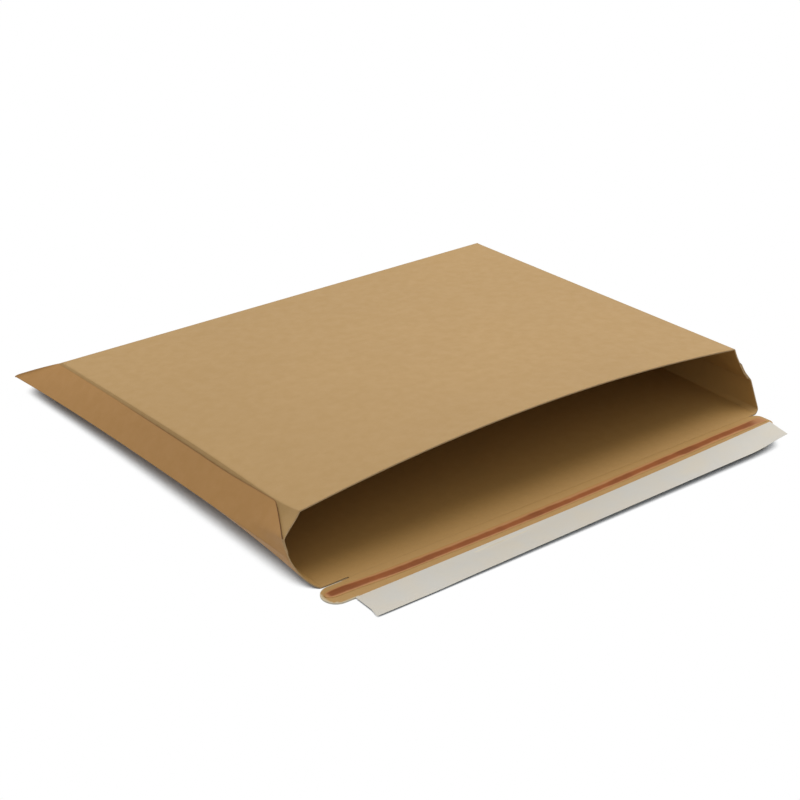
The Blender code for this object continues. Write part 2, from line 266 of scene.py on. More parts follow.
def thicken(piece, thickness, inner_slot, rim_slot):
    """Give a sheet its thickness on its inner side, with its own finish inside and on the cut edge."""
    solidify = piece.modifiers.new("Board thickness", "SOLIDIFY")
    solidify.thickness = thickness
    solidify.offset = -1.0
    solidify.use_rim = True
    solidify.material_offset = inner_slot
    solidify.material_offset_rim = rim_slot
    return solidify


def sharpen(piece, angle):
    """Shade smooth except across edges sharper than the angle."""
    split = piece.modifiers.new("Crisp cut edges", "EDGE_SPLIT")
    split.split_angle = angle
    return split


# Materials

def add_node(tree, kind, settings=None, inputs=None):
    node = tree.nodes.new(kind)
    for key, value in (settings or {}).items():
        setattr(node, key, value)
    for key, value in (inputs or {}).items():
        node.inputs[key].default_value = value
    return node


def new_material(name, roughness, specular):
    material = bpy.data.materials.new(name)
    material.use_nodes = True
    shader = material.node_tree.nodes["Principled BSDF"]
    shader.inputs["Roughness"].default_value = roughness
    shader.inputs["Specular IOR Level"].default_value = specular
    return material, material.node_tree, shader


def noise(tree, vector, scale, detail, roughness=0.55):
    node = add_node(tree, "ShaderNodeTexNoise", inputs={"Scale": scale, "Detail": detail, "Roughness": roughness})
    tree.links.new(vector, node.inputs["Vector"])
    return node.outputs["Fac"]


def stretched(tree, vector, scale):
    node = add_node(tree, "ShaderNodeMapping", inputs={"Scale": scale})
    tree.links.new(vector, node.inputs["Vector"])
    return node.outputs["Vector"]


def remap(tree, value, low, high, to_low, to_high):
    node = add_node(tree, "ShaderNodeMapRange", inputs={"From Min": low, "From Max": high,
                                                        "To Min": to_low, "To Max": to_high})
    tree.links.new(value, node.inputs["Value"])
    return node.outputs["Result"]


def blend_colour(tree, amount, first, second, mode="MIX"):
    node = add_node(tree, "ShaderNodeMix", {"data_type": "RGBA", "blend_type": mode})
    for socket, value in (("A", first), ("B", second)):
        target = next(s for s in node.inputs if s.name == socket and s.type == "RGBA")
        if isinstance(value, bpy.types.NodeSocket):
            tree.links.new(value, target)
        else:
            target.default_value = value
    factor = next(s for s in node.inputs if s.name == "Factor" and s.type == "VALUE")
    if isinstance(amount, bpy.types.NodeSocket):
        tree.links.new(amount, factor)
    else:
        factor.default_value = amount
    return next(s for s in node.outputs if s.type == "RGBA")


def shaded(base, factor):
    return (base[0] * factor, base[1] * factor, base[2] * factor, 1.0)


def kraft_face(name, base, roughness=0.62):
    """Kraft board: cloudy formation, fine fibres along and across the sheet, painted shade along creases and the
    side flaps' cut edges, and a pale band at the thumb tab's edge, partly painted highlight.
    """
    material, tree, shader = new_material(name, roughness, 0.5)
    place = add_node(tree, "ShaderNodeTexCoord").outputs["Object"]
    broad = remap(tree, noise(tree, place, 9.0, 2.0), 0.3, 0.7, 0.0, 1.0)
    cloud = remap(tree, noise(tree, place, 160.0, 4.0), 0.3, 0.7, 0.0, 1.0)
    grain = noise(tree, stretched(tree, place, (260.0, 2600.0, 900.0)), 1.0, 3.0, 0.7)
    weft = noise(tree, stretched(tree, place, (2400.0, 420.0, 900.0)), 1.0, 3.0, 0.7)
    tone = blend_colour(tree, broad, shaded(base, 0.97), shaded(base, 1.03))
    tone = blend_colour(tree, remap(tree, cloud, 0.0, 1.0, 0.0, 0.5), tone, shaded(base, 0.93))
    dark_fibre = remap(tree, grain, 0.60, 0.74, 0.0, 0.30)
    pale_fibre = remap(tree, weft, 0.60, 0.76, 0.0, 0.22)
    tone = blend_colour(tree, dark_fibre, tone, shaded(base, 0.66))
    tone = blend_colour(tree, pale_fibre, tone, shaded(base, 1.32))
    # Painted shade: the board is darkened along its creases.
    mark = add_node(tree, "ShaderNodeAttribute", {"attribute_name": "crease_shade_mark"}).outputs["Fac"]
    tone = blend_colour(tree, remap(tree, mark, 0.35, 1.0, 0.0, 0.40), tone, shaded(base, 0.70))
    # Painted shade where a side flap's cut edge steps down onto the ply below, weaker towards the back.
    seam = add_node(tree, "ShaderNodeAttribute", {"attribute_name": "seam_shade_mark"}).outputs["Fac"]
    seam_shade_colour = (base[0] * 0.42, base[1] * 0.34, base[2] * 0.22, 1.0)
    tone = blend_colour(tree, remap(tree, seam, 0.15, 0.8, 0.0, 0.8), tone, seam_shade_colour)
    # Painted highlight, partly the board's own pale cut edge: a pale band along the thumb tab's edge.
    tab_highlight = add_node(tree, "ShaderNodeAttribute", {"attribute_name": "tab_highlight_mark"}).outputs["Fac"]
    tone = blend_colour(tree, remap(tree, tab_highlight, 0.35, 0.85, 0.0, 0.75), tone, (0.58, 0.52, 0.37, 1.0))
    tree.links.new(tone, shader.inputs["Base Color"])
    tree.links.new(remap(tree, cloud, 0.0, 1.0, roughness - 0.05, roughness + 0.06), shader.inputs["Roughness"])
    height = add_node(tree, "ShaderNodeMath", {"operation": "ADD"})
    tree.links.new(grain, height.inputs[0])
    tree.links.new(weft, height.inputs[1])
    bump = add_node(tree, "ShaderNodeBump", inputs={"Strength": 0.18, "Distance": 0.00012})
    tree.links.new(height.outputs["Value"], bump.inputs["Height"])
    tree.links.new(bump.outputs["Normal"], shader.inputs["Normal"])
    return material


def kraft_edge(name, base):
    """The board's cut edge, with the faint layers of its plies, darkened with painted shade where a side flap's edge
    steps down onto the ply below.
    """
    material, tree, shader = new_material(name, 0.85, 0.3)
    place = add_node(tree, "ShaderNodeTexCoord").outputs["Object"]
    ply = noise(tree, stretched(tree, place, (300.0, 300.0, 6000.0)), 1.0, 3.0)
    tone = blend_colour(tree, remap(tree, ply, 0.35, 0.65, 0.0, 1.0), shaded(base, 0.8), shaded(base, 1.15))
    # Painted shade darkens the cut edge where a side flap steps down onto the ply below.
    seam = add_node(tree, "ShaderNodeAttribute", {"attribute_name": "seam_shade_mark"}).outputs["Fac"]
    tone = blend_colour(tree, seam, tone, (base[0] * 0.25, base[1] * 0.16, base[2] * 0.08, 1.0))
    tree.links.new(tone, shader.inputs["Base Color"])
    return material


def board_materials(board):
    """The outer face, inner face, cut edge and side flap, made once and shared by the board's pieces; the side
    flap's finish is a copy of the outer face in a darker, deeper orange, painted shade for the sloping sides.
    """
    made = []
    for name, maker, base in (("kraft_outside", kraft_face, board.outside),
                              ("kraft_inside", kraft_face, board.inside),
                              ("kraft_cut_edge", kraft_edge, board.cut_edge),
                              ("kraft_side_flap", kraft_face, board.side)):
        made.append(bpy.data.materials.get(name) or maker(name, tuple(base)))
    return made


def tape_film(name, core, flank, board):
    """Thin film with a red-brown core and paler flanks that run out into the board's colour."""
    material, tree, shader = new_material(name, 0.5, 0.12)
    place = add_node(tree, "ShaderNodeTexCoord").outputs["Object"]
    ribs = noise(tree, stretched(tree, place, (30.0, 2400.0, 60.0)), 1.0, 2.0)
    patches = noise(tree, place, 55.0, 3.0)
    across = add_node(tree, "ShaderNodeAttribute", {"attribute_name": "across"}).outputs["Fac"]
    wander = add_node(tree, "ShaderNodeMath", {"operation": "ADD"})
    tree.links.new(across, wander.inputs[0])
    tree.links.new(remap(tree, patches, 0.3, 0.7, -0.12, 0.12), wander.inputs[1])
    tone = blend_colour(tree, remap(tree, patches, 0.35, 0.65, 0.0, 1.0), shaded(core, 0.86), shaded(core, 1.16))
    tone = blend_colour(tree, remap(tree, ribs, 0.4, 0.6, 0.0, 0.3), tone, shaded(core, 1.3))
    tone = blend_colour(tree, remap(tree, wander.outputs["Value"], 0.44, 0.72, 0.0, 1.0), tone, flank)
    tone = blend_colour(tree, remap(tree, across, 0.80, 1.0, 0.0, 0.85), tone, board)
    tree.links.new(tone, shader.inputs["Base Color"])
    bump = add_node(tree, "ShaderNodeBump", inputs={"Strength": 0.25, "Distance": 0.00008})
    tree.links.new(ribs, bump.inputs["Height"])
    tree.links.new(bump.outputs["Normal"], shader.inputs["Normal"])
    return material


def liner_paper(name, base):
    """Siliconised paper: smooth, faintly mottled, a little translucent looking."""
    material, tree, shader = new_material(name, 0.42, 0.45)
    place = add_node(tree, "ShaderNodeTexCoord").outputs["Object"]
    cloud = noise(tree, place, 45.0, 3.0)
    fibre = noise(tree, stretched(tree, place, (500.0, 1900.0, 500.0)), 1.0, 3.0, 0.7)
    warm = (base[0] * 1.02, base[1] * 0.99, base[2] * 0.95, 1.0)
    cool = (base[0] * 0.97, base[1] * 0.985, base[2] * 1.02, 1.0)
    tone = blend_colour(tree, remap(tree, cloud, 0.35, 0.65, 0.0, 1.0), warm, cool)
    tone = blend_colour(tree, remap(tree, fibre, 0.58, 0.76, 0.0, 0.18), tone, shaded(base, 0.86))
    tree.links.new(tone, shader.inputs["Base Color"])
    bump = add_node(tree, "ShaderNodeBump", inputs={"Strength": 0.12, "Distance": 0.0001})
    tree.links.new(fibre, bump.inputs["Height"])
    tree.links.new(bump.outputs["Normal"], shader.inputs["Normal"])
    return material


def glue_film(name):
    """Clear pressure-sensitive adhesive with a slightly uneven surface."""
    material, tree, shader = new_material(name, 0.25, 0.5)
    place = add_node(tree, "ShaderNodeTexCoord").outputs["Object"]
    streak = noise(tree, stretched(tree, place, (60.0, 1200.0, 200.0)), 1.0, 3.0)
    tone = blend_colour(tree, remap(tree, streak, 0.35, 0.65, 0.0, 1.0), (0.62, 0.55, 0.42, 1.0),
                        (0.74, 0.68, 0.56, 1.0))
    tree.links.new(tone, shader.inputs["Base Color"])
    bump = add_node(tree, "ShaderNodeBump", inputs={"Strength": 0.3, "Distance": 0.0001})
    tree.links.new(streak, bump.inputs["Height"])
    tree.links.new(bump.outputs["Normal"], shader.inputs["Normal"])
    return material


# The folded pocket

class PocketPlan:
    """Where the pocket's creases, fold and margins run; a share of the depth is 0 at the mouth, 1 at the back."""

    def __init__(self, pocket, board):
        self.size = pocket
        self.board = board

    def top_crease(self, side, depth):
        size = self.size
        half = mix(size.top_width_mouth, size.top_width_back, depth) / 2.0
        height = mix(size.top_height_mouth, size.top_height_back, depth)
        if side < 0.0:
            dip = depth / 0.10
            height += size.crease_rise * sin(pi * depth) - size.crease_dip * dip * exp(1.0 - dip)
        else:
            height += size.crease_lift * (1.0 - depth)
        return np.array([side * half, size.top_setback + size.top_depth * depth, height])

    def bottom_crease(self, side, depth):
        return np.array([side * self.size.bottom_width / 2.0, self.size.bottom_depth * depth, 0.0])

    def outer_fold(self, side, depth):
        size = self.size
        reach = size.reach_left if side < 0.0 else size.reach_right
        mouth = size.top_width_mouth / 2.0 + reach
        corner = size.top_width_back / 2.0 + size.reach_corner
        largest = 0.4725
        sag = size.fold_sag * (depth - depth ** 4) / largest
        across = side * (mix(mouth, corner, depth) - sag)
        back = size.top_setback + size.top_depth + size.reach_back
        height = mix(size.fold_height_mouth, size.fold_height_back, depth)
        if side > 0.0:
            height -= size.fold_drop_right * depth
        return np.array([across, mix(size.fold_retreat, back, depth), height])

    def outward(self, side, start, end):
        line = end - start
        across = np.array([side * abs(line[2]), 0.0, side * line[0] * np.sign(-line[2])])
        return across / np.linalg.norm(across)

    def fade(self, depth, reach):
        return max(0.0, 1.0 - depth * self.size.top_depth / reach) ** 2

    def upper(self, side, depth, place, raised):
        """Point on a top margin, at a share of its width and raised above the under ply."""
        size = self.size
        crease = self.top_crease(side, depth)
        fold = self.outer_fold(side, depth)
        out = self.outward(side, crease, fold)
        ply = self.board.thickness + self.board.ply_gap
        under = ply * (1.0 if depth < 1.0 else 0.0)
        bow = size.upper_bow_left if side < 0.0 else size.upper_bow_right
        hat = place / BOW_PEAK if place < BOW_PEAK else (1.0 - place) / (1.0 - BOW_PEAK)
        push = bow * self.fade(depth, size.upper_bow_length) * hat
        sink = under * ease(place / 0.12) * (1.0 - raised)
        lift = ply * raised * ease((1.0 - place) / 0.1) * ease(place / 0.35) if depth >= 1.0 else 0.0
        setback = size.edge_setback_left if side < 0.0 else 0.0
        behind = setback * self.fade(depth, size.upper_bow_length) * min(1.0, place / 0.15, hat * 1.4)
        return crease + (fold - crease) * place + out * (push - sink + lift) + np.array([0.0, behind, 0.0])

    def lower(self, side, depth, place):
        """Point on a bottom margin, at a share of its width from the bottom crease."""
        size = self.size
        crease = self.bottom_crease(side, depth)
        fold = self.outer_fold(side, depth)
        out = self.outward(side, fold, crease)
        bow = size.lower_bow_left if side < 0.0 else size.lower_bow_right
        if side < 0.0:
            hat = sin(pi * place ** 0.9) ** 0.8
        else:
            hat = (place / 0.17) ** 0.6 if place < 0.17 else (1.0 - place) / 0.83
        push = bow * self.fade(depth, size.lower_bow_length) * hat
        return crease + (fold - crease) * place + out * push

    def seam(self, side, depth):
        """The side flap's cut edge, as a share of the top margin's width."""
        size = self.size
        width = np.linalg.norm(self.outer_fold(side, depth) - self.top_crease(side, depth))
        corner = size.seam_cut_length / size.top_depth
        if depth < corner:
            cut = size.seam_cut_left if side < 0.0 else size.seam_cut_right
            return mix(cut, size.seam_corner_inset, depth / corner) / width
        return mix(size.seam_corner_inset, size.seam_inset, ease((depth - corner) / 0.2)) / width

    def top_row(self, columns, depth):
        left = self.top_crease(LEFT, depth)
        right = self.top_crease(RIGHT, depth)
        rise = self.size.arch * (1.0 - depth) ** self.size.arch_fade
        row = []
        for column in columns:
            point = mix(left, right, column)
            point[2] += rise * 4.0 * column * (1.0 - column)
            row.append(point)
        return row

    def bottom_row(self, columns, depth):
        return [mix(self.bottom_crease(LEFT, depth), self.bottom_crease(RIGHT, depth), c) for c in columns]


def edged(count, inset):
    """Even shares from 0 to 1, with one more close to each end."""
    return [0.0, inset] + list(np.linspace(0.0, 1.0, count + 1)[1:-1]) + [1.0 - inset, 1.0]


def pocket_sheet(plan):
    """The whole folded sheet as one surface, before its thickness.

    The top panel, its margins and the back are one run of board. The bottom panel's side flaps lie over the
    top's side margins, from the outer fold up to their cut edge, and end on the back corner's mitre.
    """
    size = plan.size
    sheet = Sheet()
    inset = size.crease_radius / size.top_width_mouth
    near_crease = size.crease_radius / 0.0215
    columns = edged(18, inset)
    corner = size.seam_cut_length / size.top_depth
    depths = [0.0, 0.012, 0.035, 0.058, corner - 0.006, corner, corner + 0.006, 0.112]
    depths += list(np.linspace(0.14, 0.96, 18)) + [0.982, 1.0 - 0.0046, 1.0]
    upper = [0.0, near_crease, 0.2, 0.4, 0.58, BOW_PEAK - 0.02, BOW_PEAK + 0.02, 0.85, 1.0 - near_crease, 1.0]
    lower = [0.0, near_crease, 0.11, 0.17, 0.24, 0.4, 0.55, 0.7, 0.85, 1.0 - near_crease, 1.0]
    # Crease marks, which carry the painted shade along the creases.
    flat = [1.0 if c in (0.0, 1.0) else 0.0 for c in columns]
    flat_ends = [1.0 for c in columns]
    last = len(depths) - 1
    panel_marks = [flat_ends if d == last else flat for d in range(len(depths))]
    rim_marks = [1.0] + [0.0] * (len(upper) - 2) + [1.0]
    low_marks = [1.0] + [0.0] * (len(lower) - 2) + [1.0]

    sheet.grid([plan.top_row(columns, d) for d in depths], panel_marks)
    sheet.grid([plan.bottom_row(columns, d)[::-1] for d in depths], panel_marks)
    for side in (LEFT, RIGHT):
        under = [[plan.upper(side, d, p, 0.0) for p in upper[:-1]] for d in depths]
        over = []
        for d in depths:
            edge = plan.seam(side, d)
            peak = max(BOW_PEAK, edge + 0.08)
            places = [edge, edge + 0.015, mix(edge, peak, 0.5), peak, mix(peak, 1.0, 0.3), mix(peak, 1.0, 0.7), 0.97, 1.0]
            over.append([plan.upper(side, d, p, 1.0) for p in places])
            # Painted shade along the side flap's cut edge, weaker towards the back.
            sheet.seam_shades[sheet.number(over[-1][0])] = 1.0 - 0.65 * ease((d - 0.55) / 0.2)
        below = [[plan.lower(side, d, p) for p in lower[::-1]] for d in depths]
        over_marks = [0.0] * (len(over[0]) - 1) + [1.0]
        if side > 0.0:
            under = [row[::-1] for row in under]
            over = [row[::-1] for row in over]
            below = [row[::-1] for row in below]
            sheet.grid([row[::-1] for row in under], [rim_marks[:-1]] * len(depths))
            sheet.grid([row[::-1] for row in over], [over_marks] * len(depths), SHADED_SIDE_FINISH)
            sheet.grid([row[::-1] for row in below], [low_marks] * len(depths), SHADED_SIDE_FINISH)
        else:
            sheet.grid([row[::-1] for row in under], [rim_marks[:-1][::-1]] * len(depths))
            sheet.grid([row[::-1] for row in over], [over_marks[::-1]] * len(depths), SHADED_SIDE_FINISH)
            sheet.grid([row[::-1] for row in below], [low_marks] * len(depths), SHADED_SIDE_FINISH)
    back_upper = []
    for p in upper:
        left = plan.upper(LEFT, 1.0, p, 0.0)
        right = plan.upper(RIGHT, 1.0, p, 0.0)
        back_upper.append([mix(left, right, c) for c in columns])
    back_lower = []
    for p in lower[::-1]:
        left = plan.lower(LEFT, 1.0, p)
        right = plan.lower(RIGHT, 1.0, p)
        back_lower.append([mix(left, right, c) for c in columns])
    row_marks = [[m] * len(columns) for m in rim_marks]
    sheet.grid(back_upper, row_marks)
    sheet.grid(back_lower, [[m] * len(columns) for m in low_marks])
    return sheet


def fix_normals(mesh):
    """Turn every face the same way, the highest one upwards."""
    builder = bmesh.new()
    builder.from_mesh(mesh)
    bmesh.ops.recalc_face_normals(builder, faces=builder.faces[:])
    builder.faces.ensure_lookup_table()
    highest = max(builder.faces, key=lambda face: face.calc_center_median().z)
    if highest.normal.z < 0.0:
        bmesh.ops.reverse_faces(builder, faces=builder.faces[:])
    builder.to_mesh(mesh)
    builder.free()


class MAILER_OT_pocket(Operator):
    """Build the folded pocket with its glued side flaps"""

    bl_idname = "mailer.pocket"
    bl_label = "Folded Pocket"

    def execute(self, context):
        board = context.scene.mailer_board
        plan = PocketPlan(context.scene.mailer_pocket, board)
        mesh = pocket_sheet(plan).mesh("pocket_board")
        fix_normals(mesh)
        outer, inner, edge, side = board_materials(board)
        piece = place_piece("pocket_board", mesh, (0.0, MOUTH_Y, 0.0), [outer, inner, edge, side, inner, edge])
        rounding = piece.modifiers.new("Rounded creases", "SUBSURF")
        rounding.levels = 2
        rounding.render_levels = 2
        thicken(piece, board.thickness, 1, 2)
        sharpen(piece, 1.0)
        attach(piece, POCKET_BODY)
        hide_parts("mailer_body")
        return {"FINISHED"}


# The closure flap and its layers

def arc(centre_x, centre_y, radius, start_angle, end_angle):
    angles = np.linspace(start_angle, end_angle, 13)
    return [(centre_x + radius * cos(angle), centre_y + radius * sin(angle)) for angle in angles]


def flap_outline(flap):
    start = flap.crease_width
    tab_radius = (flap.tear_band - flap.tab_notch) / 2.0
    tab_x = -flap.tab_left + tab_radius
    round_x = flap.band_right - flap.band_radius
    depth = flap.tear_band + flap.glue_band
    outline = [(-flap.tab_neck, -start), (-flap.tab_neck - flap.tab_notch, -flap.tab_notch)]
    outline += arc(tab_x, -flap.tab_notch - tab_radius, tab_radius, pi / 2.0, 1.5 * pi)
    outline += [(-flap.left, -flap.tear_band), (-flap.left, -depth)]
    outline += [(flap.right, -depth), (flap.right, -flap.tear_band)]
    outline += arc(round_x, flap.band_radius - flap.tear_band, flap.band_radius, 1.5 * pi, 2.0 * pi)
    outline += arc(round_x, -start - flap.band_radius, flap.band_radius, 0.0, pi / 2.0)
    return outline


def flap_lift(flap, x, y):
    along = max(0.0, x + flap.lift_start) / (flap.band_right + flap.lift_start)
    return flap.lift * along * (max(0.0, -y) / (flap.tear_band + flap.glue_band)) ** 0.45


def flat_sheet(name, outline, height, step_x, step_y, rise):
    """A thin sheet cut to an outline, divided finely and raised by a rule of x and y."""
    builder = bmesh.new()
    face = builder.faces.new([builder.verts.new((x, y, 0.0)) for x, y in outline])
    if face.normal.z < 0.0:
        face.normal_flip()
    xs = [x for x, _ in outline]
    ys = [y for _, y in outline]
    cuts = [((x, 0.0, 0.0), (1.0, 0.0, 0.0)) for x in np.arange(min(xs) + step_x, max(xs), step_x)]
    cuts += [((0.0, y, 0.0), (0.0, 1.0, 0.0)) for y in np.arange(min(ys) + step_y, max(ys), step_y)]
    for centre, normal in cuts:
        parts = builder.verts[:] + builder.edges[:] + builder.faces[:]
        bmesh.ops.bisect_plane(builder, geom=parts, dist=1e-6, plane_co=centre, plane_no=normal)
    bmesh.ops.recalc_face_normals(builder, faces=builder.faces[:])
    for face in builder.faces:
        if face.normal.z < 0.0:
            face.normal_flip()
    for vertex in builder.verts:
        vertex.co.z = height + rise(vertex.co.x, vertex.co.y)
    mesh = bpy.data.meshes.new(name)
    builder.to_mesh(mesh)
    builder.free()
    return mesh


def paint_tab_highlight(mesh, flap):
    """Mark the pale band along the thumb tab's edge: painted highlight, partly the board's own pale cut-edge colour.
    """
    tab_highlight = mesh.attributes.new("tab_highlight_mark", "FLOAT", "POINT")
    middle = -(flap.tear_band + flap.tab_notch) / 2.0
    radius = (flap.tear_band - flap.tab_notch) / 2.0
    tab_x = -flap.tab_left + radius
    for vertex in mesh.vertices:
        x, y = vertex.co.x, vertex.co.y
        from_spine = hypot(min(0.0, x - tab_x), y - middle)
        tab_highlight.data[vertex.index].value = float(x < -flap.left - 0.0001 and from_spine > radius - 0.0001)


class MAILER_OT_closure_flap(Operator):
    """Build the closure flap with its thumb tab, up to the crease it turns on"""

    bl_idname = "mailer.closure_flap"
    bl_label = "Closure Flap"

    def execute(self, context):
        board = context.scene.mailer_board
        flap = context.scene.mailer_flap
        mesh = flat_sheet("flap_board", flap_outline(flap), 0.0, 0.003, 0.0015, lambda x, y: flap_lift(flap, x, y))
        paint_tab_highlight(mesh, flap)
        outer, inner, edge, side = board_materials(board)
        # The flap's cut edge: a paler copy of the cut edge, with painted highlight.
        rim_with_highlight = kraft_edge("flap_cut_edge_with_highlight", tuple(flap.rim_with_highlight))
        piece = place_piece("flap_board", mesh, (0.0, MOUTH_Y, board.thickness), [inner, outer, rim_with_highlight])
        thicken(piece, board.thickness, 1, 2)
        sharpen(piece, 1.0)
        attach(piece, FLAP_BODY)
        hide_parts("closure_flap")
        return {"FINISHED"}


def crease_strip(flap, thickness):
    """The closed strip of board that bends along the flap's crease."""
    xs = np.linspace(-flap.tab_neck, flap.band_right - flap.band_radius, 49)
    ys = -flap.crease_width * np.linspace(0.0, 1.0, 6)
    section = [(y, 0.0) for y in ys] + [(y, -thickness) for y in ys[::-1]]
    section.append(section[0])
    # Painted shade along the middle of the bend.
    marks = [0.0, 0.5, 0.8, 0.8, 0.5, 0.0] * 2 + [0.0]
    sheet = Sheet()
    sheet.grid([[(x, y, z + flap_lift(flap, x, y)) for y, z in section] for x in xs], [marks] * len(xs))
    for x in (xs[0], xs[-1]):
        sheet.faces.append([sheet.number((x, y, z + flap_lift(flap, x, y))) for y, z in section[:-1]])
    mesh = sheet.mesh("flap_crease")
    fix_normals(mesh)
    mesh.polygons.foreach_set("material_index", [int(face.normal.z < 0.5) for face in mesh.polygons])
    return mesh


class MAILER_OT_flap_crease(Operator):
    """Build the bend between the pocket and its flap"""

    bl_idname = "mailer.flap_crease"
    bl_label = "Flap Crease"

    def execute(self, context):
        board = context.scene.mailer_board
        flap = context.scene.mailer_flap
        outer, inner, edge, side = board_materials(board)
        mesh = crease_strip(flap, board.thickness)
        piece = place_piece("flap_crease", mesh, (0.0, MOUTH_Y, board.thickness), [inner, outer])
        sharpen(piece, 1.0)
        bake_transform(piece)
        return {"FINISHED"}


def tape_ribbon(flap):
    """The tear tape's film: rounded at its left end, a little crooked, with its core off the middle."""
    end_left, end_right, round_end, end_bend = 0.0018, 0.0020, 0.0065, 0.0011
    wander, wander_middle, wander_reach, right_bend, core_shift = 0.0013, -0.035, 0.075, 0.0006, 0.28
    left = end_left - flap.tab_left
    right = flap.band_right - end_right
    centre = -flap.tape_inset - flap.tape_width / 2.0
    rounded = [left + round_end * share for share in (0.02, 0.1, 0.25, 0.45, 0.7)]
    sheet = Sheet()
    rows, marks = [], []
    for x in rounded + list(np.linspace(left + round_end, right, 60)):
        from_end = max(0.0, 1.0 - (x - left) / round_end)
        half = flap.tape_width / 2.0 * (1.0 - from_end ** 2) ** 0.5
        row, line = [], []
        for across in np.linspace(-1.0, 1.0, 13):
            y = centre + half * across + end_bend * ease((-0.120 - x) / 0.025) + right_bend * ease((x - 0.08) / 0.04)
            y -= wander * exp(-((x - wander_middle) / wander_reach) ** 2)
            row.append((x, y, 0.00012 + 0.00016 * (1.0 - across ** 2) + flap_lift(flap, x, y)))
            off_middle = core_shift * ease((x + 0.135) / 0.03) * ease((0.07 - x) / 0.04)
            # The tape runs into its flank colour towards its right end.
            right_fade = 0.70 * ease((x - 0.128) / 0.016)
            line.append(max(abs(across + off_middle * (1.0 - across ** 2)), from_end, right_fade))
        rows.append(row)
        marks.append(line)
    sheet.grid(rows, marks)
    mesh = sheet.mesh("tear_tape_film", "across")
    fix_normals(mesh)
    return mesh


class MAILER_OT_tear_tape(Operator):
    """Lay the tear tape along the tear band"""

    bl_idname = "mailer.tear_tape"
    bl_label = "Tear Tape"

    def execute(self, context):
        flap = context.scene.mailer_flap
        board = context.scene.mailer_board
        film = tape_film("tear_tape_film", tuple(flap.tape_colour), tuple(flap.tape_flank), tuple(board.inside))
        height = board.thickness
        piece = place_piece("tear_tape_film", tape_ribbon(flap), (0.0, MOUTH_Y, height), [film])
        thicken(piece, 0.00006, 0, 0)
        sharpen(piece, 1.0)
        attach(piece, FLAP_BODY)
        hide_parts("tear_tape")
        return {"FINISHED"}


class MAILER_OT_adhesive(Operator):
    """Finish the adhesive strip that the liner covers"""

    bl_idname = "mailer.adhesive"
    bl_label = "Adhesive Strip"

    def execute(self, context):
        strip = frame["nodes"]["adhesive_strip"]
        strip.data.materials.clear()
        strip.data.materials.append(glue_film("adhesive_film"))
        return {"FINISHED"}


def liner_height(flap, x, y):
    """Height of the liner over the board's inner face: flat at its left end, peeling off at its right end."""
    near = flap.tear_band + flap.liner_inset
    across = (-y - near) / (flap.liner_reach - near)
    peel = max(0.0, (x + 0.06) / (flap.liner_right + 0.06)) ** 1.6
    slope = max(0.0, (x + flap.lift_start) / (flap.liner_right + flap.lift_start)) ** 0.75
    inner = flap.liner_gap + flap.liner_peel * peel
    outer = flap.liner_edge + flap.liner_slope * slope + flap.liner_curl * ease((x - 0.11) / 0.03)
    return max(mix(inner, outer, across), flap.liner_gap + flap_lift(flap, x, y))


class MAILER_OT_liner(Operator):
    """Lay the release liner over the adhesive, its right end peeling up"""

    bl_idname = "mailer.liner"
    bl_label = "Release Liner"

    def execute(self, context):
        flap = context.scene.mailer_flap
        near = -flap.tear_band - flap.liner_inset
        far = -flap.liner_reach
        flare = 0.0014
        outline = [(-flap.liner_left, near), (-flap.liner_left, mix(near, far, 0.66)),
                   (-flap.liner_left - flare, far), (flap.liner_corner, far), (flap.liner_right, near)]
        mesh = flat_sheet("liner_paper", outline, 0.0, 0.005, 0.002, lambda x, y: liner_height(flap, x, y))
        paper = liner_paper("release_paper", tuple(flap.liner_colour))
        height = context.scene.mailer_board.thickness
        piece = place_piece("liner_paper", mesh, (0.0, MOUTH_Y, height), [paper])
        thicken(piece, 0.0001, 0, 0)
        sharpen(piece, 0.7)
        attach(piece, FLAP_BODY)
        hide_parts("release_liner")
        return {"FINISHED"}


# Camera, lamps and floor

def seen_directly(tree):
    """1 for rays that show the background to the camera, straight, mirrored or through glass."""
    light_path = add_node(tree, "ShaderNodeLightPath")
    first = add_node(tree, "ShaderNodeMath", {"operation": "MAXIMUM"})
    second = add_node(tree, "ShaderNodeMath", {"operation": "MAXIMUM"})
    tree.links.new(light_path.outputs["Is Camera Ray"], first.inputs[0])
    tree.links.new(light_path.outputs["Is Glossy Ray"], first.inputs[1])
    tree.links.new(first.outputs["Value"], second.inputs[0])
    tree.links.new(light_path.outputs["Is Transmission Ray"], second.inputs[1])
    return second.outputs["Value"]


